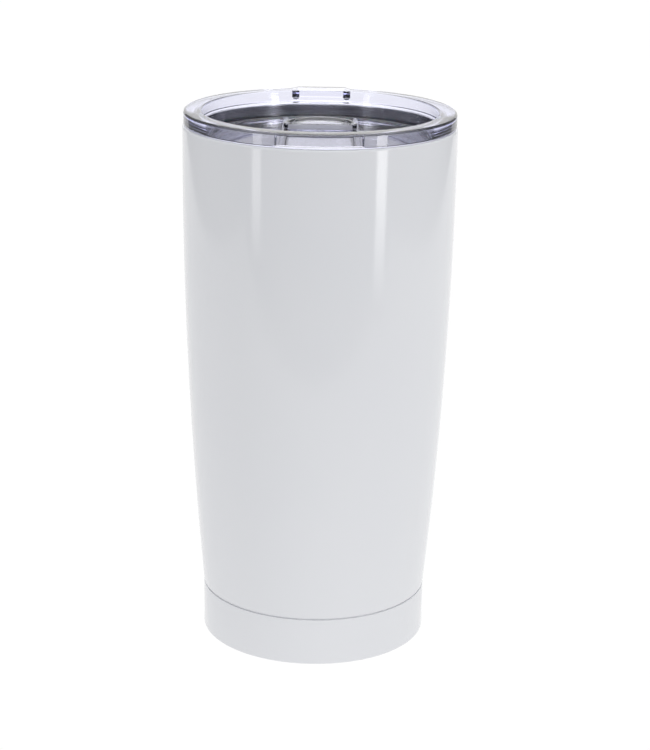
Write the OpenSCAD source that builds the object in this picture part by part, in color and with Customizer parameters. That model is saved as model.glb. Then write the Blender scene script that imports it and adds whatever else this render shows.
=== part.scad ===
// Insulated tumbler with a clear press-in lid and a sliding closure.
// Millimetres. +Z is up, the origin is the centre of the foot, and the drinking side faces -Y.

/* [Tumbler] */
// Height of the steel tumbler without its lid
tumbler_h = 170.4; // [150:0.1:190]
// Outside diameter of the straight band below the rim
rim_d = 87.5; // [84:0.5:92]
// Outside diameter of the base cup
base_d = 74; // [68:0.5:78]
// Inside diameter of the mouth, where the lid plugs in
mouth_d = 79.2; // [78.8:0.1:79.6]
// Height of the base cup up to the seam groove
base_h = 15.6; // [12:0.1:20]
// Width of the seam groove between the base cup and the shell
seam_w = 0.5; // [0.3:0.1:0.8]
// Height of the straight band below the rim
straight_h = 8.4; // [4:0.2:12]
// Coated thickness of the outer shell and the base cup
shell_t = 0.5; // [0.4:0.05:0.7]
// Thickness of the inner liner
liner_t = 0.45; // [0.4:0.05:0.6]
// Height of the drinking floor inside the liner
liner_floor_z = 10; // [9:0.5:14]

/* [Lid] */
// Outside diameter of the lid's flange
flange_d = 86.8; // [86:0.2:87.4]
// Thickness of the flange above the rim
flange_t = 4.4; // [3:0.1:6]
// Depth of the lid's floor below its top
well_depth = 9; // [8:0.2:10]
// Thickness of the lid's floor
lid_floor_t = 2.2; // [1.8:0.1:2.6]
// Width of the lift tab at its tip
tab_w = 15.8; // [12:0.2:22]
// How far the lift tab stands out of the flange
tab_out = 2; // [1.5:0.1:3]
// Width of the lip recess at the front
lip_w = 27; // [22:0.5:32]

/* [Slider] */
// Width of the slider's thumb piece
thumb_w = 23.4; // [22:0.2:25]
// How far the slider travels from closed to open
slider_travel = 11; // [9:0.5:11]

/* [Hidden] */
$fn = 128;
eps = 0.01;

rim_r = rim_d / 2;
base_r = base_d / 2;
mouth_r = mouth_d / 2;
wall_gap = rim_r - mouth_r;            // outside of the shell to inside of the liner
straight_z = tumbler_h - straight_h;   // below this height the wall starts to flare in
shell_z = base_h + seam_w;             // lower edge of the shell
flare_r = pow(straight_z - shell_z, 2) / (2 * (rim_r - base_r));
wall_steps = 14;                       // straight stretches that stand for the flare
arc_step = 0.7;                        // longest straight stretch in a round corner
lip_r = 0.7;                           // rounding of the rim, outside and inside
weld_r = mouth_r + lip_r;              // the shell and the liner are welded here, on top of the rim
liner_weld_z = liner_floor_z + 12;     // seam between the liner tube and its bottom
liner_corner_r = 8;
spigot_h = 4.9;                        // how far the base cup reaches into the shell
spigot_fit = 0.03;
shoulder_h = 0.8;
foot_r = 0.8;
foot_inner_r = 34;
panel_r = 32.5;
panel_z = 1.8;                         // underside of the recessed bottom panel
dimple_r = 6;
dimple_rise = 1.6;
port_r = 1;
bead_r = 2.6;
bead_h = 1.1;
port_cover_r = 9;
port_cover_t = 0.5;
getter_x = 18;
getter_r = 3.6;
getter_h = 2;
clip_t = 0.4;
clip_w = 3;
clip_foot = 3;
foil_t = 0.15;
foil_gap = 0.6;
foil_z0 = 24;
foil_z1 = 156;
shield_disc_r = 23;

flange_r = flange_d / 2;
rest_gap = 0.2;                        // the gasket holds the flange this far above the rim
flange_z = tumbler_h + rest_gap;
lid_top = flange_z + flange_t;
floor_z = lid_top - well_depth;
well_r = 37.6;                         // inside of the well at its top
well_floor_r = 37.3;
well_corner_r = 1;
plug_r = 38.9;
skirt_r = 36.2;
skirt_bottom = floor_z - lid_floor_t - 5.2;
groove_z0 = skirt_bottom + 1.6;
groove_z1 = groove_z0 + 3.6;
groove_r = 37.4;
edge_r = 0.8;                          // rounding of the flange's edges
lip_depth = 0.6;
lip_margin = 0.25;
tab_t = 3.2;
tab_flank = 2.4;                       // how far each flank of the tab slopes out to its root
tab_root = 1.2;                        // how deep the tab is rooted in the flange
rib_x = 8.95;                          // middle of each rib under the tab
rib_w = 1.9;
rib_out = 1.3;
seal_r = mouth_r - 0.1;
fit = 0.05;

rail_half = 12.4;                      // outside of the rails
rail_web = 1.1;
rail_half_gap = 10.4;                  // between the rail lips, from the middle
rail_h = 1.9;
rail_lip_t = 0.65;
stop_gap = 0.3;                        // left between the slider and its stop when open
stop_t = 1.2;
stop_h = 0.9;
drink_w = 18;
drink_l = 9;
drink_y = -27.5;
vent_r = 1.2;
vent_y = 32;

plate_half = 11.1;
plate_t = 1.1;
plate_lift = 0.1;
plate_front_r = 35.6;
neck_half = 10.2;
neck_back = 9.6;
thumb_r = thumb_w / 2;
thumb_front = 2;
thumb_centre = 4;
thumb_z0 = floor_z + rail_h + 0.15;
thumb_z1 = floor_z + 4.1;
plate_back = thumb_centre + thumb_r - 2;
rail_back = plate_back + slider_travel + stop_gap;
scoop_depth = 1.2;
scoop_wall = 1.5;

// Outside radius of the tumbler at height z: straight below the rim, then one large arc.
function shell_r(z) = rim_r - pow(max(0, straight_z - z), 2) / (2 * flare_r);

// Points of an arc about (cr, cz), in the half plane of a turned profile, from angle a0 to a1.
function arc(cr, cz, r, a0, a1) =
    let (steps = max(3, ceil(abs(a1 - a0) * PI / 180 * r / arc_step)))
    [for (i = [0:steps]) let (a = a0 + (a1 - a0) * i / steps) [cr + r * cos(a), cz + r * sin(a)]];

// Points up the wall from z0 to z1, inset from the tumbler's outside.
function wall_line(inset, z0, z1) =
    [for (i = [0:wall_steps]) let (z = z0 + (z1 - z0) * i / wall_steps) [shell_r(z) - inset, z]];

function reversed(points) = [for (i = [len(points) - 1:-1:0]) points[i]];

module turned(points) {
    rotate_extrude() polygon(points);
}

// A wall of even thickness that follows the tumbler's flare.
module wall_band(outer_inset, inner_inset, z0, z1) {
    turned(concat(wall_line(outer_inset, z0, z1), reversed(wall_line(inner_inset, z0, z1))));
}

// Outer wall: the flare, and the rim as far as its weld to the liner.
module outer_shell() {
    lip_z = tumbler_h - lip_r;
    color([0.93, 0.93, 0.94])
        turned(concat(
            wall_line(0, shell_z, straight_z),
            arc(rim_r - lip_r, lip_z, lip_r, 0, 90),
            [[weld_r, tumbler_h], [weld_r, tumbler_h - shell_t]],
            arc(rim_r - lip_r, lip_z, lip_r - shell_t, 90, 0),
            reversed(wall_line(shell_t, shell_z, straight_z))
        ));
}

// Outer bottom: a stamped cup with a foot ring, a dimple for the vacuum port, and a spigot that is
// welded inside the shell.
module base_cup() {
    spigot_inset = shell_t + spigot_fit;
    spigot_top = base_h + spigot_h;
    ceiling = panel_z + dimple_rise;
    color([0.93, 0.93, 0.94])
        turned(concat(
            [[foot_inner_r, 0]],
            arc(base_r - foot_r, foot_r, foot_r, -90, 0),
            [[base_r, base_h], [base_r - spigot_inset, base_h], [base_r - spigot_inset, shell_z],
                [shell_r(spigot_top) - spigot_inset, spigot_top],
                [shell_r(spigot_top) - spigot_inset - shell_t, spigot_top],
                [base_r - spigot_inset - shell_t, shell_z],
                [base_r - spigot_inset - shell_t, base_h - shell_t],
                [base_r - shell_t, base_h - shell_t - shoulder_h], [base_r - shell_t, panel_z],
                [foot_inner_r + shell_t, shell_t], [panel_r, panel_z + shell_t],
                [dimple_r + dimple_rise, panel_z + shell_t], [dimple_r, ceiling + shell_t],
                [port_r, ceiling + shell_t], [port_r, ceiling],
                [dimple_r - shell_t, ceiling], [dimple_r + dimple_rise - shell_t, panel_z],
                [panel_r - shell_t / 2, panel_z]]
        ));
}

// Inner wall: the liner tube, and the inner lip of the rim as far as the weld.
module inner_liner() {
    lip_z = tumbler_h - lip_r;
    color([0.62, 0.62, 0.64])
        turned(concat(
            wall_line(wall_gap, liner_weld_z, straight_z),
            arc(weld_r, lip_z, lip_r, 180, 90),
            arc(weld_r, lip_z, lip_r - liner_t, 90, 180),
            reversed(wall_line(wall_gap - liner_t, liner_weld_z, straight_z))
        ));
}

// Dished bottom, welded into the liner tube.
module liner_bottom() {
    in_r = shell_r(liner_weld_z) - wall_gap;
    corner_z = liner_floor_z + liner_corner_r;
    color([0.62, 0.62, 0.64])
        turned(concat(
            [[0, liner_floor_z]],
            arc(in_r - liner_corner_r, corner_z, liner_corner_r, -90, 0),
            [[in_r, liner_weld_z], [in_r + liner_t, liner_weld_z]],
            arc(in_r - liner_corner_r, corner_z, liner_corner_r + liner_t, 0, -90),
            [[0, liner_floor_z - liner_t]]
        ));
}

// Foil sleeve in the vacuum space, wrapped round the liner.
module heat_shield_foil() {
    foil_in = wall_gap - liner_t - foil_gap;
    color([0.80, 0.80, 0.82]) wall_band(foil_in - foil_t, foil_in, foil_z0, foil_z1);
}

// Foil disc under the liner's bottom.
module heat_shield_disc() {
    disc_top = liner_floor_z - liner_t - foil_gap;
    color([0.80, 0.80, 0.82]) translate([0, 0, disc_top - foil_t]) cylinder(r = shield_disc_r, h = foil_t);
}

// Tablet that keeps the vacuum, on the inside of the bottom panel.
module getter_tablet() {
    color([0.35, 0.34, 0.33])
        translate([getter_x, 0, panel_z + shell_t]) cylinder(r = getter_r, h = getter_h);
}

// Strap over the tablet, spot welded at its two feet.
module getter_clip() {
    inside = getter_r + fit;
    outside = inside + clip_t;
    color([0.55, 0.55, 0.57])
        translate([getter_x, clip_w / 2, panel_z + shell_t]) rotate([90, 0, 0]) linear_extrude(clip_w)
            polygon([[-outside - clip_foot, 0], [-inside, 0], [-inside, getter_h],
                [inside, getter_h], [inside, 0], [outside + clip_foot, 0],
                [outside + clip_foot, clip_t], [outside, clip_t], [outside, getter_h + clip_t],
                [-outside, getter_h + clip_t], [-outside, clip_t], [-outside - clip_foot, clip_t]]);
}

// Glass bead that seals the pumping hole.
module vacuum_seal_bead() {
    ceiling = panel_z + dimple_rise;
    color([0.20, 0.30, 0.28])
        turned([[0, ceiling + shell_t], [port_r, ceiling + shell_t], [port_r, ceiling], [bead_r, ceiling],
            [bead_r * 0.9, ceiling - bead_h * 0.45], [bead_r * 0.6, ceiling - bead_h * 0.85],
            [0, ceiling - bead_h]]);
}

// Disc that hides the dimple.
module vacuum_port_cover() {
    color([0.70, 0.70, 0.72])
        translate([0, 0, panel_z - port_cover_t]) cylinder(r = port_cover_r, h = port_cover_t);
}

// Turned section of the lid: flange, well, floor, and the plug skirt with its gasket groove.
module lid_section() {
    under = floor_z - lid_floor_t;
    turned(concat(
        [[0, floor_z]],
        arc(well_floor_r - well_corner_r, floor_z + well_corner_r, well_corner_r, -90, 0),
        arc(well_r + edge_r, lid_top - edge_r, edge_r, 180, 90),
        arc(flange_r - edge_r, lid_top - edge_r, edge_r, 90, 0),
        [[flange_r, flange_z + edge_r / 2], [flange_r - edge_r / 2, flange_z], [plug_r, flange_z],
            [plug_r, groove_z1], [groove_r, groove_z1], [groove_r, groove_z0], [plug_r, groove_z0],
            [plug_r, skirt_bottom + edge_r], [plug_r - edge_r, skirt_bottom], [skirt_r, skirt_bottom],
            [skirt_r, under], [0, under]]
    ));
}

// Tab that stands out of the flange's back edge, for lifting the lid out. Its flanks slope, and a
// three-sided rib runs down the flange under each flank.
module lift_tab() {
    foot_x = tab_w / 2 + tab_flank;
    foot_y = sqrt(pow(flange_r, 2) - pow(foot_x, 2));
    rib_y = sqrt(pow(flange_r, 2) - pow(rib_x, 2));
    difference() {
        union() {
            translate([0, 0, lid_top - tab_t]) linear_extrude(tab_t)
                polygon([[-foot_x, foot_y - tab_root], [foot_x, foot_y - tab_root], [foot_x, foot_y],
                    [tab_w / 2, flange_r + tab_out], [-tab_w / 2, flange_r + tab_out],
                    [-foot_x, foot_y]]);
            for (side = [-1, 1]) translate([side * rib_x, rib_y, flange_z + edge_r / 2])
                linear_extrude(tab_t) polygon([[-rib_w / 2, -tab_root], [rib_w / 2, -tab_root],
                    [rib_w / 2, 0], [0, rib_out], [-rib_w / 2, 0]]);
        }
        translate([0, 0, -1]) cylinder(r = flange_r - tab_root, h = lid_top + 10);
    }
}

// Shallow recess in the flange's outside, where the lower lip rests.
module lip_recess() {
    intersection() {
        difference() {
            cylinder(r = flange_r + 2, h = lid_top + 5);
            translate([0, 0, -1]) cylinder(r = flange_r - lip_depth, h = lid_top + 10);
        }
        translate([-lip_w / 2, -flange_r - 5, flange_z + lip_margin])
            cube([lip_w, flange_r, flange_t - 2 * lip_margin]);
    }
}

// One rail of the slider's track, on the +X side.
module rail() {
    front = -36;
    translate([0, front, 0]) {
        translate([rail_half - rail_web, 0, floor_z - eps])
            cube([rail_web, rail_back - front, rail_h + eps]);
        translate([rail_half_gap, 0, floor_z + rail_h - rail_lip_t])
            cube([rail_half - rail_half_gap, rail_back - front, rail_lip_t]);
    }
}

// Both rails, trimmed to the well, and the stop bar at their back end.
module track() {
    intersection() {
        union() {
            rail();
            mirror([1, 0, 0]) rail();
        }
        cylinder(r = well_floor_r - well_corner_r + 0.4, h = lid_top);
    }
    translate([-rail_half, rail_back, floor_z - eps]) cube([2 * rail_half, stop_t, stop_h + eps]);
}

// Drinking hole with round ends.
module drink_hole() {
    end_x = (drink_w - drink_l) / 2;
    translate([0, drink_y, floor_z - lid_floor_t - 1]) linear_extrude(lid_floor_t + 2) {
        square([2 * end_x, drink_l], center = true);
        for (side = [-1, 1]) translate([side * end_x, 0]) circle(d = drink_l);
    }
}

// Clear moulded lid.
module lid_body() {
    color([0.86, 0.88, 0.95, 0.4]) difference() {
        union() {
            lid_section();
            lift_tab();
            track();
        }
        lip_recess();
        drink_hole();
        translate([0, vent_y, floor_z - lid_floor_t - 1]) cylinder(r = vent_r, h = lid_floor_t + 2);
    }
}

// Silicone ring with two sealing fins, in the lid's groove.
module lid_gasket() {
    back = groove_r + fit;
    low = groove_z0 + fit;
    high = groove_z1 - fit;
    fin = 0.6;
    mid = (low + high) / 2;
    color([0.88, 0.88, 0.88, 0.7])
        turned([[back, low], [plug_r, low], [seal_r, low + fin], [seal_r, low + 1.6 * fin],
            [plug_r, mid - fin / 2], [plug_r, mid + fin / 2],
            [seal_r, high - 1.6 * fin], [seal_r, high - fin], [plug_r, high], [back, high]]);
}

// Outline with a straight front and a half-round back, drawn in from the edge by inset.
module thumb_outline(inset) {
    half = thumb_r - inset;
    intersection() {
        union() {
            translate([0, thumb_centre]) circle(r = half);
            translate([-half, 0]) square([2 * half, thumb_centre]);
        }
        translate([-thumb_r, thumb_front + inset]) square(2 * thumb_r);
    }
}

// Clear slider: a plate under the rail lips, a neck between them, and a thumb piece with a scoop.
module slider() {
    plate_z = floor_z + plate_lift;
    color([0.86, 0.88, 0.95, 0.5]) difference() {
        union() {
            translate([0, 0, plate_z]) linear_extrude(plate_t) intersection() {
                translate([-plate_half, -plate_front_r])
                    square([2 * plate_half, plate_back + plate_front_r]);
                circle(r = plate_front_r);
            }
            translate([-neck_half, thumb_front, plate_z + plate_t - eps])
                cube([2 * neck_half, neck_back - thumb_front, thumb_z0 - plate_z - plate_t + 2 * eps]);
            translate([0, 0, thumb_z0]) linear_extrude(thumb_z1 - thumb_z0) thumb_outline(0);
        }
        translate([0, 0, thumb_z1 - scoop_depth]) linear_extrude(scoop_depth + 1)
            thumb_outline(scoop_wall);
    }
}

outer_shell();
base_cup();
inner_liner();
liner_bottom();
heat_shield_foil();
heat_shield_disc();
getter_tablet();
getter_clip();
vacuum_seal_bead();
vacuum_port_cover();
lid_body();
lid_gasket();
slider();
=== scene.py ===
import math

import bpy
import numpy as np
from mathutils import Matrix, Vector


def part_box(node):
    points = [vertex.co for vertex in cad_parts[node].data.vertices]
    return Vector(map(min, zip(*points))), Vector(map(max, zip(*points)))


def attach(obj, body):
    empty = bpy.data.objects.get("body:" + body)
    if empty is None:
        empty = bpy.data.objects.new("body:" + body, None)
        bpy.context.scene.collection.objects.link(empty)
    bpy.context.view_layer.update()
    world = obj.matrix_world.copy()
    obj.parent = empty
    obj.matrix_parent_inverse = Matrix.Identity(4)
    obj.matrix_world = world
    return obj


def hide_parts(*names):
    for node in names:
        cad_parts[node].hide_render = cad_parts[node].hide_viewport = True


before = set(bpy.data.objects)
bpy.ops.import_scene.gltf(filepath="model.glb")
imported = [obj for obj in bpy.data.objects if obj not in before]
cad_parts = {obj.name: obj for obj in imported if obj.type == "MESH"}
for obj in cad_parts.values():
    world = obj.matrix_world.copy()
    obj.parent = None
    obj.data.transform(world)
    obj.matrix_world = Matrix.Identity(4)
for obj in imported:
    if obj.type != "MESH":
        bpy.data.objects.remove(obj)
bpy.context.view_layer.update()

# The camera: a long lens a little over half a metre in front of the drinking side. It is tipped
# down to see into the lid, and rolled a touch, so the tumbler leans slightly in the view.
camera_spot = (0.0028, -0.65675, 0.2900)
camera_tip = math.radians(17.17)
camera_turn = math.radians(0.93)
camera_data = bpy.data.cameras.new("camera")
camera_data.lens = 100.2
camera_data.sensor_width = 36
camera = bpy.data.objects.new("camera", camera_data)
camera.matrix_world = (Matrix.Translation(camera_spot)
                       @ Matrix.Rotation(math.pi / 2 - camera_tip, 4, "X")
                       @ Matrix.Rotation(camera_turn, 4, "Z"))
bpy.context.scene.collection.objects.link(camera)
bpy.context.scene.camera = camera


# The studio: a white light table under a dimmer even sky, soft lights overhead and in front, a bright
# screen far behind, and two narrow upright lights whose reflections run down the glossy wall.
bpy.context.scene.view_settings.view_transform = "Standard"

sky = bpy.data.worlds.new("sky")
sky.use_nodes = True
sky.node_tree.nodes["Background"].inputs["Color"].default_value = (0.97, 0.98, 1.0, 1.0)
sky.node_tree.nodes["Background"].inputs["Strength"].default_value = 0.44
bpy.context.scene.world = sky


def softbox(name, spot, aim, width, height, brightness):
    """An evenly bright rectangular light. Its power is brightness * pi * width * height."""
    lamp = bpy.data.lights.new(name, "AREA")
    lamp.shape = "RECTANGLE"
    lamp.size = width
    lamp.size_y = height
    lamp.energy = brightness * math.pi * width * height
    light = bpy.data.objects.new(name, lamp)
    facing = (Vector(aim) - Vector(spot)).to_track_quat("-Z", "Y")
    light.matrix_world = Matrix.Translation(spot) @ facing.to_matrix().to_4x4()
    light.visible_camera = False
    bpy.context.scene.collection.objects.link(light)


softbox("overhead", (0, 0.2, 1.3), (0, 0.1, 0), 1.8, 1.6, 1.6)
softbox("front", (0, -1.8, 0.9), (0, 0, 0.1), 1.6, 1.0, 1.0)


def glowing(name, corners, brightness, low=0.0, high=0.0):
    """A flat sheet that gives off an even white light, or one that rises from nothing at height low to
    its full brightness at height high."""
    mesh = bpy.data.meshes.new(name)
    mesh.from_pydata(corners, [], [(0, 1, 2, 3)])
    sheet = bpy.data.objects.new(name, mesh)
    bpy.context.scene.collection.objects.link(sheet)
    glow = bpy.data.materials.new(name + "_glow")
    glow.use_nodes = True
    nodes, links = glow.node_tree.nodes, glow.node_tree.links
    shader = nodes["Principled BSDF"]
    shader.inputs["Base Color"].default_value = (0, 0, 0, 1)
    shader.inputs["Specular IOR Level"].default_value = 0
    shader.inputs["Emission Color"].default_value = (1, 1, 1, 1)
    shader.inputs["Emission Strength"].default_value = brightness
    if high > low:
        place = nodes.new("ShaderNodeTexCoord")
        parts = nodes.new("ShaderNodeSeparateXYZ")
        rise = nodes.new("ShaderNodeMapRange")
        rise.inputs["From Min"].default_value = low
        rise.inputs["From Max"].default_value = high
        links.new(place.outputs["Object"], parts.inputs[0])
        links.new(parts.outputs["Z"], rise.inputs["Value"])
        links.new(rise.outputs[0], shader.inputs["Emission Color"])
    mesh.materials.append(glow)
    return sheet


def upright_light(name, spot, width, low, high, brightness):
    """A narrow upright sheet that faces the tumbler's axis, dark at height low and bright from high up."""
    x, y = spot
    reach = math.hypot(x, y)
    dx, dy = -y / reach * width / 2, x / reach * width / 2
    sheet = glowing(name, [(x - dx, y - dy, low), (x + dx, y + dy, low), (x + dx, y + dy, 0.3),
                           (x - dx, y - dy, 0.3)], brightness, low, high)
    sheet.visible_camera = False


upright_light("left_strip", (-0.274, -0.233), 0.047, 0.037, 0.088, 3.2)
upright_light("right_strip", (0.274, -0.233), 0.056, 0.010, 0.095, 5.5)
table_z = -0.0001   # a hair below the foot, so that the two faces don't meet
glowing("table", [(-0.55, -0.28, table_z), (0.55, -0.28, table_z),
                  (0.65, 2.1, table_z), (-0.65, 2.1, table_z)], 1.01)
glowing("screen", [(-0.9, 1.9, 0.05), (0.9, 1.9, 0.05), (0.9, 1.9, 1.3), (-0.9, 1.9, 1.3)], 1.2)


# The liner: a drawn stainless tube that tapers like the outer wall and rolls outwards at the mouth,
# where it is welded to the outer shell. It is polished near the mouth and brushed satin below.
mm = 0.001
rim_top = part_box("outer_shell")[1].z
rim_radius = 43.75 * mm
mouth_radius = 39.6 * mm
base_radius = 37.0 * mm
shell_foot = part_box("outer_shell")[0].z
straight_foot = rim_top - 8.4 * mm
lip_radius = 0.7 * mm
weld_radius = mouth_radius + lip_radius
flare = (straight_foot - shell_foot) ** 2 / (rim_radius - base_radius)
liner_gauge = 0.45 * mm
liner_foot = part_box("inner_liner")[0].z
polished_depth = 12 * mm
satin_depth = 22 * mm


def arc(r, z, radius, start, end, steps=12):
    """Points (r + radius cos a, z + radius sin a) of a circle, for a from start to end in degrees."""
    a = np.radians(np.linspace(start, end, steps + 1))
    return np.column_stack((r + radius * np.cos(a), z + radius * np.sin(a)))


def wall(inset, low, high, steps=48):
    """Points of the tapering wall: r = rim_radius - (straight_foot - z)^2 / flare - inset, which
    stays straight above straight_foot."""
    z = np.linspace(low, high, steps + 1)
    return np.column_stack((rim_radius - np.maximum(0, straight_foot - z) ** 2 / flare - inset, z))


def meshed(name, points, *faces):
    """A closed mesh of the points and the blocks of faces, turned round if its volume
    sum(a . (b x c)) / 6 comes out negative, so that its faces point outwards."""
    faces = [np.asarray(block) for block in faces if len(block)]
    volume = sum(np.einsum("ij,ij->i", points[block[:, 0]],
                           np.cross(points[block[:, k]], points[block[:, k + 1]])).sum()
                 for block in faces for k in range(1, block.shape[1] - 1))
    if volume < 0:
        faces = [block[:, ::-1] for block in faces]
    corners = np.concatenate([block.ravel() for block in faces])
    sides = np.concatenate([np.full(len(block), block.shape[1]) for block in faces])
    mesh = bpy.data.meshes.new(name)
    mesh.vertices.add(len(points))
    mesh.vertices.foreach_set("co", points.ravel())
    mesh.loops.add(len(corners))
    mesh.loops.foreach_set("vertex_index", corners)
    mesh.polygons.add(len(sides))
    mesh.polygons.foreach_set("loop_start", np.cumsum(sides) - sides)
    mesh.update(calc_edges=True)
    piece = bpy.data.objects.new(name, mesh)
    bpy.context.scene.collection.objects.link(piece)
    return piece


def smoothed(piece, crease=32):
    """Shades a piece smooth, except across edges that turn by more than crease degrees."""
    piece.data.polygons.foreach_set("use_smooth", np.ones(len(piece.data.polygons), bool))
    piece.data.set_sharp_from_angle(angle=math.radians(crease))
    return piece


def turned(name, profile, angles=None):
    """A surface of revolution: point (u, v) is (r(v) cos u, r(v) sin u, z(v)). A profile that starts
    and ends on the axis closes with a pole at each end, and any other profile closes on itself."""
    u = np.linspace(0, 2 * np.pi, 320, endpoint=False) if angles is None else angles
    poles = profile[0, 0] == 0 and profile[-1, 0] == 0
    rings = profile[1:-1] if poles else profile
    r, z = rings[:, :1], rings[:, 1:]
    points = np.stack((r * np.cos(u), r * np.sin(u), z + 0 * u), axis=2).reshape(-1, 3)
    across = np.arange(len(rings) - 1 if poles else len(rings))[:, None]
    along = np.arange(len(u))
    here = across * len(u) + along
    ahead = across * len(u) + (along + 1) % len(u)
    up = len(u)
    total = len(rings) * len(u)
    quads = np.stack((here, ahead, (ahead + up) % total, (here + up) % total), axis=2).reshape(-1, 4)
    if not poles:
        return meshed(name, points, quads)
    points = np.vstack((points, [0, 0, profile[0, 1]], [0, 0, profile[-1, 1]]))
    first, last = along, total - up + along
    start = np.column_stack((np.full(up, total), np.roll(first, -1), first))
    end = np.column_stack((np.full(up, total + 1), last, np.roll(last, -1)))
    return meshed(name, points, quads, start, end)


class Shade:
    """A value in a material's nodes. Arithmetic on it adds Math nodes, so a mask is written as a formula."""

    def __init__(self, material, socket=None):
        self.material = material
        self.socket = socket

    def node(self, kind, settings, inputs, output=0):
        """Adds a node of a kind, makes its settings, fills its sockets with numbers or links, and
        returns one output. A ramp's settings are its stops: (place, colour) pairs."""
        node = self.material.node_tree.nodes.new("ShaderNode" + kind)
        for name, value in settings.items():
            if name == "stops":
                while len(node.color_ramp.elements) < len(value):
                    node.color_ramp.elements.new(0.5)
                for stop, (place, colour) in zip(node.color_ramp.elements, value):
                    stop.position = place
                    stop.color = (*colour, 1)
            else:
                setattr(node, name, value)
        for name, value in inputs.items():
            if isinstance(value, Shade):
                self.material.node_tree.links.new(value.socket, node.inputs[name])
            else:
                node.inputs[name].default_value = value
        return Shade(self.material, node.outputs[output])

    def maths(self, operation, *values):
        return self.node("Math", {"operation": operation}, dict(enumerate(values)))

    def __add__(self, other):
        return self.maths("ADD", self, other)

    def __rsub__(self, other):
        return self.maths("SUBTRACT", other, self)

    def __mul__(self, other):
        return self.maths("MULTIPLY", self, other)

    def __pow__(self, other):
        return self.maths("POWER", self, other)

    __radd__ = __add__
    __rmul__ = __mul__


def finish_named(name, constants):
    """A new material with its constants set on the shader's own sockets, and the place on the piece
    in metres. Returns the material, its shader node and the place."""
    material = bpy.data.materials.new(name)
    material.use_nodes = True
    shader = material.node_tree.nodes["Principled BSDF"]
    for socket, value in constants.items():
        shader.inputs[socket].default_value = value
    place = Shade(material).node("TexCoord", {}, {}, "Object")
    return material, shader, place


def wire(shader, **values):
    """Links values to the shader's sockets, named with underscores for spaces."""
    for name, value in values.items():
        value.material.node_tree.links.new(value.socket, shader.inputs[name.replace("_", " ")])


def grain(place, stretch, detail=3.0, roughness=0.55):
    """Noise about 0.5, with stretch cells to the metre along x, y and z."""
    scaled = place.node("VectorMath", {"operation": "MULTIPLY"}, {0: place, 1: stretch})
    return place.node("TexNoise", {}, {
        "Vector": scaled, "Scale": 1.0, "Detail": detail, "Roughness": roughness})


def bumped(height, depth):
    """A normal tilted by a height field, whose full range of 1 stands for depth metres."""
    return height.node("Bump", {}, {"Height": height, "Strength": 1.0, "Distance": depth})


def blended(amount, first, second):
    """The colour first where amount is 0 and second where it is 1."""
    return amount.node("Mix", {"data_type": "RGBA"}, {0: amount, 6: (*first, 1), 7: (*second, 1)}, 2)


def turned_steel(name, bright, dark, lines, gloss, satin):
    """Bare stainless steel: fine rings round the axis, lines to the metre apart, in tone, gloss and
    relief. Its roughness rises from gloss to satin between polished_depth and satin_depth."""
    material, shader, place = finish_named(name, {"Metallic": 1.0, "Anisotropic": 0.45})
    rings = grain(place, (18, 18, lines), 4)
    cloud = grain(place, (70, 70, 40), 2)
    height = place.node("SeparateXYZ", {}, {0: place}, "Z")
    base = height.node("MapRange", {}, {
        "Value": height, "From Min": rim_top - satin_depth, "From Max": rim_top - polished_depth,
        "To Min": satin, "To Max": gloss})
    wire(shader, Base_Color=blended(rings * 0.7 + cloud * 0.3, dark, bright),
         Roughness=base + 0.10 * rings + 0.05 * cloud, Normal=bumped(rings, 0.004 * mm))
    return material


liner_steel = turned_steel("liner_steel", (0.62, 0.62, 0.64), (0.46, 0.46, 0.48), 5200, 0.10, 0.42)
mouth_z = rim_top - lip_radius
liner_inset = rim_radius - mouth_radius
liner = smoothed(turned("steel_liner", np.vstack((
    wall(liner_inset, liner_foot, straight_foot),
    arc(weld_radius, mouth_z, lip_radius, 180, 90),
    arc(weld_radius, mouth_z, lip_radius - liner_gauge, 90, 180),
    wall(liner_inset - liner_gauge, liner_foot, straight_foot)[::-1]))))
liner.data.materials.append(liner_steel)
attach(liner, "tumbler")
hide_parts("inner_liner")


# The liner's bottom: a pressed stainless dish, welded into the foot of the tube. Its middle was
# spun on a lathe, so the turning lines become rings on the flat floor.
dish_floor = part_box("liner_bottom")[0].z + liner_gauge
dish_radius = rim_radius - (straight_foot - liner_foot) ** 2 / flare - liner_inset
dish_corner = 8 * mm
dish = smoothed(turned("liner_dish", np.vstack((
    [(0, dish_floor)],
    arc(dish_radius - dish_corner, dish_floor + dish_corner, dish_corner, -90, 0, 24),
    [(dish_radius, liner_foot), (dish_radius + liner_gauge, liner_foot)],
    arc(dish_radius - dish_corner, dish_floor + dish_corner, dish_corner + liner_gauge, 0, -90, 24),
    [(0, dish_floor - liner_gauge)]))))


def spun_steel(name, bright, dark, lines, gloss):
    """Bare steel spun flat: the rings follow the distance from the axis, sqrt(x^2 + y^2)."""
    material, shader, place = finish_named(name, {"Metallic": 1.0})
    flat = place.node("VectorMath", {"operation": "MULTIPLY"}, {0: place, 1: (1, 1, 0)})
    reach = place.node("VectorMath", {"operation": "LENGTH"}, {0: flat}, "Value")
    rings = place.node("TexNoise", {"noise_dimensions": "1D"}, {"W": reach * lines, "Detail": 4.0})
    cloud = grain(place, (60, 60, 60), 2)
    wire(shader, Base_Color=blended(rings * 0.7 + cloud * 0.3, dark, bright),
         Roughness=gloss + 0.12 * rings + 0.06 * cloud, Normal=bumped(rings, 0.005 * mm))
    return material


dish.data.materials.append(spun_steel("dish_steel", (0.60, 0.60, 0.62), (0.44, 0.44, 0.46), 2600, 0.38))
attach(dish, "tumbler")
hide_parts("liner_bottom")


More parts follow.
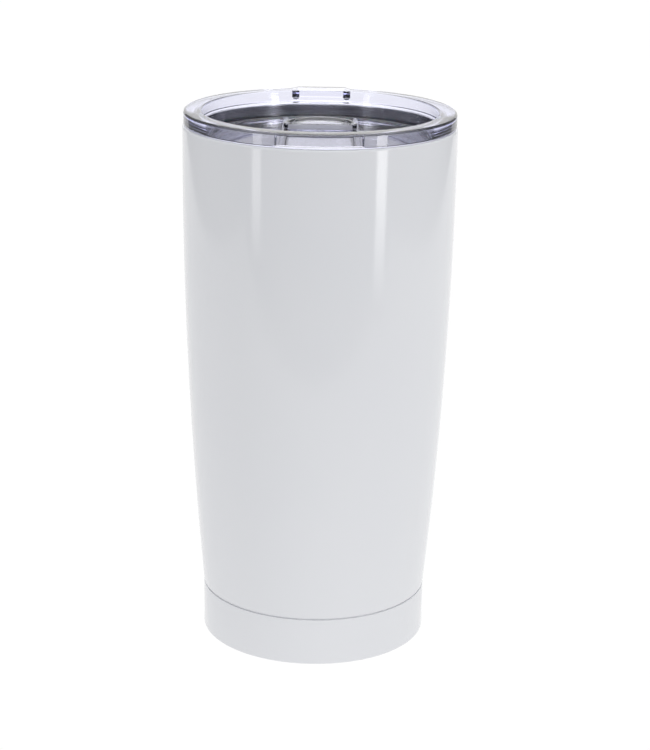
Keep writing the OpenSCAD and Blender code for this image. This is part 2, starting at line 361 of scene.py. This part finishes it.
# The heat shield: thin bright foil, a sleeve wrapped round the liner and a disc under its bottom,
# both creased by hand as they went in. They are sealed in the vacuum space.
def creased_foil(name):
    """Bright rolled metal with creases: ridges where a cell pattern's distance to the edge is small.
    Along the creases the colour is painted darker, as shade, and they also carry relief and roughness.
    """
    material, shader, place = finish_named(name, {"Metallic": 1.0})
    cells = place.node("TexVoronoi", {"feature": "DISTANCE_TO_EDGE"}, {"Vector": place, "Scale": 140.0})
    crease_and_painted_shade = (1 - cells * 6).maths("MAXIMUM", 1 - cells * 6, 0)
    rolled = grain(place, (300, 300, 4000), 2)
    # painted shade: the metal's colour darkens along the creases
    wire(shader, Base_Color=blended(crease_and_painted_shade, (0.84, 0.84, 0.86), (0.70, 0.70, 0.72)),
         Roughness=0.16 + 0.12 * rolled + 0.2 * crease_and_painted_shade, Normal=bumped(crease_and_painted_shade + 0.2 * rolled, 0.05 * mm))
    return material


foil = creased_foil("foil")
for node in ("heat_shield_foil", "heat_shield_disc"):
    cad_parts[node].material_slots[0].material = foil


# The outer shell: stainless steel drawn to the long curve of the body, rolled in at the rim and
# sprayed with a thick glossy white coat. The coat has the faint ripple of sprayed polymer.
shell_gauge = 0.5 * mm
edge_radius = 0.16 * mm


def white_coat(name):
    """Glossy white polymer: a faint warm and cool drift in tone, a fine ripple, and hairline scuffs."""
    material, shader, place = finish_named(name, {"IOR": 1.5})
    drift = grain(place, (26, 26, 18), 2)
    ripple = grain(place, (420, 420, 300), 1, 0.3)
    scuff = grain(place, (900, 900, 90), 2)
    wire(shader, Base_Color=blended(drift, (0.735, 0.745, 0.775), (0.765, 0.772, 0.795)),
         Roughness=0.07 + 0.03 * scuff + 0.02 * drift, Normal=bumped(ripple, 0.006 * mm))
    return material


coat = white_coat("white_coat")
shell = smoothed(turned("coated_shell", np.vstack((
    arc(base_radius - edge_radius, shell_foot + edge_radius, edge_radius, -90, -8, 4),
    wall(0, shell_foot + 2 * edge_radius, straight_foot, 96),
    arc(rim_radius - lip_radius, mouth_z, lip_radius, 0, 90),
    [(weld_radius, rim_top), (weld_radius, rim_top - shell_gauge)],
    arc(rim_radius - lip_radius, mouth_z, lip_radius - shell_gauge, 90, 0),
    wall(shell_gauge, shell_foot, straight_foot)[::-1]))))
shell.data.materials.append(coat)
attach(shell, "tumbler")
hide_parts("outer_shell")


# The base cup: a pressed steel cup, coated like the shell and welded up inside it, which leaves a
# narrow seam. It stands on a rolled foot ring, round a recessed panel with a dimple in the middle.
base_top = shell_foot - 0.5 * mm


def rounded(corners, steps=6):
    """An outline through corners (a, b, radius). Each corner becomes an arc tangent to both its sides:
    with the half angle h between them, the arc's centre is radius / sin h along the bisector."""
    spots = np.array([corner[:2] for corner in corners], float)
    outline = []
    for before, here, after, corner in zip(np.roll(spots, 1, 0), spots, np.roll(spots, -1, 0), corners):
        if corner[2] == 0:
            outline.append(here[None])
            continue
        back = (before - here) / np.linalg.norm(before - here)
        ahead = (after - here) / np.linalg.norm(after - here)
        middle = (back + ahead) / np.linalg.norm(back + ahead)
        half = math.acos(back @ middle)
        across = (back - ahead) / np.linalg.norm(back - ahead)
        swing = np.linspace(math.pi / 2 - half, half - math.pi / 2, steps + 1)[:, None]
        centre = here + middle * corner[2] / math.sin(half)
        outline.append(centre + corner[2] * (across * np.sin(swing) - middle * np.cos(swing)))
    return np.vstack(outline)


spigot_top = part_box("base_cup")[1].z
spigot_in = shell_gauge + 0.03 * mm
spigot_radius = rim_radius - (straight_foot - spigot_top) ** 2 / flare - spigot_in
foot_radius = 34 * mm
panel = 1.8 * mm
panel_radius = 32.25 * mm
dimple_radius = 7.1 * mm
dimple_top = panel + 1.6 * mm
dimple_top_radius = 5.5 * mm
port_radius = 1.0 * mm
cup = smoothed(turned("coated_base", rounded([
    (foot_radius, 0, 0.5 * mm), (base_radius, 0, 0.8 * mm), (base_radius, base_top, edge_radius),
    (base_radius - spigot_in, base_top, 0.05 * mm), (base_radius - spigot_in, shell_foot, 0),
    (spigot_radius, spigot_top, 0), (spigot_radius - shell_gauge, spigot_top, 0),
    (base_radius - spigot_in - shell_gauge, shell_foot, 0),
    (base_radius - spigot_in - shell_gauge, base_top - shell_gauge, 0.3 * mm),
    (base_radius - shell_gauge, base_top - shell_gauge - 0.8 * mm, 0.3 * mm),
    (base_radius - shell_gauge, panel, 0.4 * mm), (foot_radius + shell_gauge, shell_gauge, 0.2 * mm),
    (panel_radius + shell_gauge / 2, panel + shell_gauge, 0.8 * mm),
    (dimple_radius + shell_gauge, panel + shell_gauge, 0.6 * mm),
    (dimple_top_radius + shell_gauge, dimple_top + shell_gauge, 0.6 * mm),
    (port_radius, dimple_top + shell_gauge, 0.08 * mm), (port_radius, dimple_top, 0.08 * mm),
    (dimple_top_radius, dimple_top, 0.5 * mm), (dimple_radius, panel, 0.7 * mm),
    (panel_radius, panel, 0.9 * mm)])))
cup.data.materials.append(coat)
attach(cup, "tumbler")
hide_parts("base_cup")


# The vacuum parts: a getter tablet held by a spot-welded strap on the cup's inside, a bead of dark
# sealing glass under the pumping hole, and a thin steel disc that hides the dimple.
def pressed_powder(name):
    """Matt dark powder, pressed: coarse and fine grains in tone and relief."""
    material, shader, place = finish_named(name, {"Specular IOR Level": 0.3})
    coarse = grain(place, (1500, 1500, 1500), 4)
    fine = grain(place, (6000, 6000, 6000), 2)
    wire(shader, Base_Color=blended(coarse, (0.22, 0.21, 0.20), (0.40, 0.38, 0.36)),
         Roughness=0.7 + 0.25 * fine, Normal=bumped(coarse + 0.5 * fine, 0.04 * mm))
    return material


def sealing_glass(name):
    """Fused dark green glass with a slow swirl and a few seed bubbles in its relief."""
    material, shader, place = finish_named(name, {"IOR": 1.6, "Coat Weight": 0.5})
    swirl = grain(place, (900, 900, 1800), 3)
    seeds = grain(place, (5000, 5000, 5000), 1)
    wire(shader, Base_Color=blended(swirl, (0.05, 0.10, 0.09), (0.12, 0.19, 0.17)),
         Roughness=0.05 + 0.15 * seeds, Normal=bumped(seeds, 0.01 * mm))
    return material


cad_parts["getter_tablet"].material_slots[0].material = pressed_powder("getter_powder")
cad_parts["getter_clip"].material_slots[0].material = turned_steel(
    "clip_steel", (0.60, 0.60, 0.62), (0.45, 0.45, 0.47), 3000, 0.2, 0.2)
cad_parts["vacuum_seal_bead"].material_slots[0].material = sealing_glass("sealing_glass")

cover_low, cover_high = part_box("vacuum_port_cover")
cover_radius = 9 * mm
cover = smoothed(turned("port_disc", rounded([
    (0, cover_low.z, 0), (cover_radius, cover_low.z, 0.15 * mm), (cover_radius, cover_high.z, 0.1 * mm),
    (0, cover_high.z, 0)])))
cover.data.materials.append(spun_steel("disc_steel", (0.68, 0.68, 0.70), (0.52, 0.52, 0.54), 3200, 0.22))
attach(cover, "tumbler")
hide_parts("vacuum_port_cover")


# The gasket: one moulded ring of translucent silicone with two sealing fins, stretched into the
# groove of the lid's plug.
groove_radius = 37.45 * mm
plug_radius = 38.9 * mm
fin_radius = 39.5 * mm
gasket_low, gasket_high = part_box("lid_gasket")
fin = 0.6 * mm
gasket_middle = (gasket_low.z + gasket_high.z) / 2


def translucent_silicone(name):
    """Satin silicone: milky, lit through, with mould bloom in its tone and a soft ripple."""
    material, shader, place = finish_named(name, {
        "Subsurface Weight": 0.6, "Subsurface Scale": 0.002, "IOR": 1.43, "Transmission Weight": 0.35})
    bloom = grain(place, (300, 300, 300), 3)
    ripple = grain(place, (1800, 1800, 1800), 2)
    wire(shader, Base_Color=blended(bloom, (0.80, 0.81, 0.82), (0.90, 0.90, 0.90)),
         Roughness=0.32 + 0.18 * bloom, Normal=bumped(ripple, 0.01 * mm))
    return material


ring = smoothed(turned("silicone_ring", rounded([
    (groove_radius, gasket_low.z, 0.1 * mm), (plug_radius, gasket_low.z, 0.2 * mm),
    (fin_radius, gasket_low.z + fin, 0.2 * mm), (fin_radius, gasket_low.z + 1.6 * fin, 0.15 * mm),
    (plug_radius, gasket_middle - fin / 2, 0.1 * mm), (plug_radius, gasket_middle + fin / 2, 0.1 * mm),
    (fin_radius, gasket_high.z - 1.6 * fin, 0.15 * mm), (fin_radius, gasket_high.z - fin, 0.2 * mm),
    (plug_radius, gasket_high.z, 0.2 * mm), (groove_radius, gasket_high.z, 0.1 * mm)])))
ring.data.materials.append(translucent_silicone("silicone"))
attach(ring, "lid")
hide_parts("lid_gasket")


# The lid: one clear moulding. A thick flange rests over the rim, with a shallow lip recess in front
# and a lift tab on two ribs behind. Inside it a well drops to a floor with a track for the slider,
# a drinking hole under it and a small vent, and a skirt below carries the gasket.
lid_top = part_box("lid_body")[1].z
skirt_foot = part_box("lid_body")[0].z
flange_radius = 43.4 * mm
flange_foot = lid_top - 4.4 * mm
well_radius = 37.6 * mm
well_foot_radius = 37.3 * mm
floor_top = lid_top - 9 * mm
floor_foot = floor_top - 2.2 * mm
skirt_radius = 36.2 * mm
groove_foot = skirt_foot + 1.6 * mm
groove_top = groove_foot + 3.6 * mm
groove_floor = 37.4 * mm
tab_half = 7.9 * mm
tab_flank = 2.4 * mm
tab_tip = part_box("lid_body")[1].y
tab_foot = lid_top - 3.2 * mm
tab_root = math.sqrt(flange_radius ** 2 - (tab_half + tab_flank) ** 2)
rib_middle = 8.95 * mm
rib_half = 0.95 * mm
rib_out = 1.3 * mm
lip_half = 13.5 * mm
lip_depth = 0.6 * mm
lip_margin = 0.25 * mm
lip_bevel = 0.6 * mm
step = 0.14 * mm


def eased(x):
    """0 below 0, 1 above 1, and 3x^2 - 2x^3 between."""
    x = np.clip(x, 0, 1)
    return x * x * (3 - 2 * x)


def round_box(x, z, half_x, half_z, corner):
    """How far inside a rectangle with round corners a point lies, negative outside."""
    qx = np.abs(x) - half_x + corner
    qz = np.abs(z) - half_z + corner
    outside = np.hypot(np.maximum(qx, 0), np.maximum(qz, 0))
    return corner - outside - np.minimum(np.maximum(qx, qz), 0)


def lesser(a, b, ease):
    """The smooth minimum (a + b - sqrt((a - b)^2 + ease^2)) / 2, which rounds the corner of two lines."""
    return (a + b - np.hypot(a - b, ease)) / 2


def flange_shaped(points):
    """Moves the flange's outer face: in to the floor of the lip recess, and backwards to the sloping
    plan outline of the lift tab above tab_foot, or of its two three-sided ribs below."""
    x, y, z = points.T
    reach = np.hypot(x, y)
    rim = reach > flange_radius - 1.0 * mm
    flange_middle = (lid_top + flange_foot) / 2
    inside = round_box(x, z - flange_middle, lip_half, (lid_top - flange_foot) / 2 - lip_margin, 0.5 * mm)
    cut = np.maximum(0, reach - flange_radius + lip_depth)
    recess = np.where(rim & (y < 0), cut * eased(inside / lip_bevel), 0)
    face = np.sqrt(np.maximum(0, flange_radius ** 2 - x ** 2))
    flank = tab_tip - (np.abs(x) - tab_half) * (tab_tip - tab_root) / tab_flank
    tab = np.maximum(0, lesser(flank, tab_tip, 0.3 * mm) - face)
    rib = rib_out * (1 - np.abs(np.abs(x) - rib_middle) / rib_half)
    rib = np.maximum(0, lesser(rib, rib_out, 0.15 * mm)) * eased((z - flange_foot - 0.3 * mm) / (4 * step))
    back = np.where(rim & (y > 0), np.where(z > tab_foot, tab, rib), 0)
    scale = 1 - recess / np.maximum(reach, mm)
    return np.column_stack((x * scale, y * scale + back, z))


fine = 0.06 * mm
top_edge = 0.8 * mm
flange_steps = [(r, z, 0) for r, z in arc(flange_radius - top_edge, lid_top - top_edge, top_edge, 90, 0, 14)]
flange_steps += [(flange_radius, z, 0) for z in np.linspace(lid_top - 0.95 * mm, tab_foot + fine / 2, 10)]
flange_steps += [(flange_radius, z, 0) for z in np.linspace(tab_foot - fine / 2, flange_foot + 0.45 * mm, 12)]
lid_profile = rounded([
    (0, floor_top, 0), (well_foot_radius, floor_top, 1.0 * mm), (well_radius, lid_top, 0.8 * mm),
    *flange_steps, (flange_radius, flange_foot, 0.4 * mm),
    (plug_radius, flange_foot, 0.3 * mm), (plug_radius, groove_top, 0.1 * mm),
    (groove_floor, groove_top, 0.12 * mm), (groove_floor, groove_foot, 0.12 * mm),
    (plug_radius, groove_foot, 0.1 * mm), (plug_radius, skirt_foot, 0.7 * mm),
    (skirt_radius, skirt_foot, 0.3 * mm), (skirt_radius, floor_foot, 0.5 * mm), (0, floor_foot, 0)])
lip_edges = np.linspace(-0.9 * mm, 0.2 * mm, 12) + lip_half
tab_edges = np.linspace(7.5 * mm, 10.6 * mm, 32)
lip_angles = np.arccos(np.concatenate((lip_edges, -lip_edges)) / flange_radius)
tab_angles = np.arccos(np.concatenate((tab_edges, -tab_edges)) / flange_radius)
angles = np.unique(np.concatenate((np.linspace(0, 2 * np.pi, 288, endpoint=False),
                                   2 * np.pi - lip_angles, tab_angles)).round(6))
lid = turned("clear_lid", lid_profile, angles)
spots = np.empty(len(lid.data.vertices) * 3)
lid.data.vertices.foreach_get("co", spots)
lid.data.vertices.foreach_set("co", flange_shaped(spots.reshape(-1, 3)).ravel())


def prism(name, outline, axis, low, high):
    """An outline in the two other axes, carried straight along one axis from low to high."""
    n = len(outline)
    points = np.insert(np.vstack((outline, outline)), axis, np.repeat((low, high), n), axis=1)
    here, ahead = np.arange(n), (np.arange(n) + 1) % n
    sides = np.column_stack((here, ahead, ahead + n, here + n))
    return meshed(name, points, sides, here[None, ::-1], here[None] + n)


def carved(piece, operation, *tools):
    """Joins or cuts the piece with each tool, then deletes the tools."""
    for tool in tools:
        change = piece.modifiers.new(operation.lower(), "BOOLEAN")
        change.operation = operation
        change.solver = "EXACT"
        change.object = tool
    shaped = bpy.data.meshes.new_from_object(piece.evaluated_get(bpy.context.evaluated_depsgraph_get()))
    piece.modifiers.clear()
    piece.data = shaped
    for tool in tools:
        bpy.data.objects.remove(tool)


track_half = 12.4 * mm
track_gap = 10.4 * mm
track_web = 11.3 * mm
track_top = floor_top + 1.9 * mm
track_lip = 0.65 * mm
track_front = -35.4 * mm
track_back = 25.0 * mm
sunk = 0.3 * mm
rails = [prism("rail", rounded([
    (side * track_web, floor_top - sunk, 0), (side * track_half, floor_top - sunk, 0),
    (side * track_half, track_top, 0.25 * mm), (side * track_gap, track_top, 0.15 * mm),
    (side * track_gap, track_top - track_lip, 0.1 * mm),
    (side * track_web, track_top - track_lip, 0.1 * mm)]),
    1, track_front, track_back + 0.6 * mm) for side in (-1, 1)]
stop_end = track_back + 1.2 * mm
stop_top = floor_top + 0.9 * mm
stop = prism("stop", rounded([
    (track_back, floor_top - sunk, 0), (stop_end, floor_top - sunk, 0),
    (stop_end, stop_top, 0.25 * mm), (track_back, stop_top, 0.25 * mm)]),
    0, -track_half, track_half)
hole_end = 9 * mm
hole_half = 4.5 * mm
hole_front = -32 * mm
hole_back = hole_front + 2 * hole_half
almost_half = hole_half * 0.999
drink_hole = prism("drink_hole", rounded([
    (-hole_end, hole_front, hole_half), (hole_end, hole_front, hole_half),
    (hole_end, hole_back, almost_half), (-hole_end, hole_back, almost_half)],
    16), 2, floor_foot - mm, floor_top + mm)
vent_y = 32 * mm
vent_radius = 1.2 * mm
vent = prism("vent", arc(0, vent_y, vent_radius, 0, 345, 23), 2, floor_foot - mm, floor_top + mm)
carved(lid, "UNION", *rails, stop)
carved(lid, "DIFFERENCE", drink_hole, vent)
smoothed(lid)


def clear_polymer(name, tint, density, frosted):
    """Polished clear moulding: a faint flow ripple, fine scuffs in its gloss, and a tint that deepens
    with the thickness the light passes. It is rough where frosted(place) is 1. Returns the material,
    its shader node and the mask."""
    material, shader, place = finish_named(name, {"IOR": 1.57, "Transmission Weight": 1.0})
    flow = grain(place, (90, 90, 220), 2)
    scuff = grain(place, (1400, 700, 1400), 3)
    frost = frosted(place)
    wire(shader, Base_Color=blended(flow, (0.97, 0.97, 0.99), (0.99, 0.99, 1.0)),
         Roughness=0.004 + 0.02 * scuff ** 3 + 0.14 * frost, Normal=bumped(flow, 0.01 * mm))
    depth = frost.node("VolumeAbsorption", {}, {"Color": (*tint, 1), "Density": density})
    output = material.node_tree.nodes["Material Output"]
    material.node_tree.links.new(depth.socket, output.inputs["Volume"])
    return material, shader, frost


def vent_bevel(place):
    """1 near the vent's edge, which the mould leaves matt, and 0 elsewhere."""
    reach = place.node("VectorMath", {"operation": "DISTANCE"}, {
        0: place, 1: (0, vent_y, floor_top)}, "Value")
    return reach.maths("LESS_THAN", reach, vent_radius + 0.2 * mm)


lid.data.materials.clear()
lid.data.materials.append(clear_polymer("clear_polymer", (0.70, 0.71, 1.0), 60.0, vent_bevel)[0])
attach(lid, "lid")
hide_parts("lid_body")


# The slider: one clear moulding. A thin plate runs under the track's lips and covers the drinking
# hole, a neck rises between them, and a half-round thumb piece with a scooped top sits on the neck.
plate_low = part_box("slider")[0].z
thumb_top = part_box("slider")[1].z
plate_top = plate_low + 1.1 * mm
plate_half = 11.1 * mm
plate_back = 13.7 * mm
plate_front = 35.6 * mm
plate_corner = -33.8 * mm
plate_sweep = 17.4
thumb_radius = 11.7 * mm
thumb_front = 2.0 * mm
thumb_middle = 4.0 * mm
thumb_low = floor_top + 2.05 * mm
neck_half = 10.2 * mm
neck_front = thumb_front + 0.4 * mm
neck_back = 9.6 * mm


def moulded(name, outline, middle, rings):
    """A solid over a plan outline o(u) about a middle point m: point (u, v) is m + (o(u) - m) times
    1 - inset(v) / |o(u) - m|, at height z(v), with a pole at the first and at the last height."""
    rings = np.asarray(rings)
    arm = outline - middle
    reach = np.hypot(*arm.T)
    shrink = np.maximum(0.02, 1 - rings[:, :1] / reach)
    plan = middle + arm * shrink[:, :, None]
    height = np.broadcast_to(rings[:, 1:], shrink.shape)[:, :, None]
    points = np.concatenate((plan, height), axis=2).reshape(-1, 3)
    n = len(outline)
    along = np.arange(n)
    here = np.arange(len(rings) - 1)[:, None] * n + along
    ahead = np.arange(len(rings) - 1)[:, None] * n + (along + 1) % n
    quads = np.stack((here, ahead, ahead + n, here + n), axis=2).reshape(-1, 4)
    total = len(points)
    points = np.vstack((points, [*middle, rings[0, 1]], [*middle, rings[-1, 1]]))
    start = np.column_stack((np.full(n, total), np.roll(along, -1), along))
    end = np.column_stack((np.full(n, total + 1), total - n + along, np.roll(total - n + along, -1)))
    return meshed(name, points, quads, start, end)


thumb_outline = rounded([(-thumb_radius, thumb_front, 1.7 * mm), (thumb_radius, thumb_front, 1.7 * mm)]
                        + [(r, y, 0) for r, y in arc(0, thumb_middle, thumb_radius, 0, 180, 72)], 10)
land = 0.7 * mm
scoop_reach = 1.9 * mm
scoop_depth = 1.2 * mm
edge = 0.45 * mm
scoop = np.linspace(0, 1, 15)[:, None]
thumb_centre = np.array((0, 7.5 * mm))
thumb = moulded("thumb_slider", thumb_outline, thumb_centre, np.vstack((
    [(6 * mm, thumb_low), (0.3 * mm, thumb_low)],
    arc(edge, thumb_low + 0.25 * mm, 0.25 * mm, 250, 180, 4) - [(0.2 * mm, 0)],
    arc(edge, thumb_top - edge, edge, 180, 90, 8),
    np.hstack((land + scoop_reach * scoop, thumb_top - scoop_depth * eased(scoop))),
    [(9 * mm, thumb_top - scoop_depth)])))
front_arc = arc(0, 0, plate_front, 270 - plate_sweep, 270 + plate_sweep, 24)
plate_outline = rounded([(-plate_half, plate_back, 0.8 * mm), (-plate_half, plate_corner, 0.5 * mm)]
                        + [(x, y, 0) for x, y in front_arc]
                        + [(plate_half, plate_corner, 0.5 * mm), (plate_half, plate_back, 0.8 * mm)])
plate_centre = np.array((0, -10 * mm))
plate = moulded("plate", plate_outline, plate_centre, np.vstack((
    [(5 * mm, plate_low)], arc(0.2 * mm, plate_low + 0.2 * mm, 0.2 * mm, 270, 180, 4),
    arc(0.2 * mm, plate_top - 0.2 * mm, 0.2 * mm, 180, 90, 4), [(5 * mm, plate_top)])))
neck = prism("neck", rounded([
    (-neck_half, neck_front, 0.6 * mm), (neck_half, neck_front, 0.6 * mm),
    (neck_half, neck_back, 0.6 * mm), (-neck_half, neck_back, 0.6 * mm)]), 2,
    plate_top - 0.2 * mm, thumb_low + 0.3 * mm)
carved(thumb, "UNION", neck, plate)
smoothed(thumb)
thumb.data.materials.clear()


def grip_texture(place):
    """1 on the two faces a thumb touches: the pad's floor, by its distance from the axis of the round
    back and its height, and the flat front face. 0 elsewhere."""
    low = place.node("VectorMath", {"operation": "MULTIPLY_ADD"}, {
        0: place, 1: (1, 1, 0), 2: (0, -thumb_middle, 0)})
    reach = low.node("VectorMath", {"operation": "LENGTH"}, {0: low}, "Value")
    depth = place.node("SeparateXYZ", {}, {0: place}, "Z")
    front = place.node("SeparateXYZ", {}, {0: place}, "Y")
    pad = (reach.maths("LESS_THAN", reach, thumb_radius - land - scoop_reach)
           * depth.maths("GREATER_THAN", depth, thumb_top - scoop_depth - 0.2 * mm)
           * front.maths("GREATER_THAN", front, thumb_front + land))
    face = (front.maths("COMPARE", front, thumb_front, 0.02 * mm)
            * depth.maths("GREATER_THAN", depth, thumb_low + 0.25 * mm)
            * depth.maths("LESS_THAN", depth, thumb_top - 0.5 * edge))
    return pad + face


clear_slider, gloss, textured = clear_polymer("clear_slider_polymer", (0.75, 0.76, 1.0), 40.0, grip_texture)
haze = textured.node("BsdfDiffuse", {}, {"Color": (0.80, 0.80, 0.90, 1)})
hazed = textured.node("MixShader", {}, {
    0: 0.65 * textured, 1: Shade(clear_slider, gloss.outputs[0]), 2: haze})
surface = clear_slider.node_tree.nodes["Material Output"].inputs["Surface"]
clear_slider.node_tree.links.new(hazed.socket, surface)
thumb.data.materials.append(clear_slider)
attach(thumb, "slider")
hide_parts("slider")
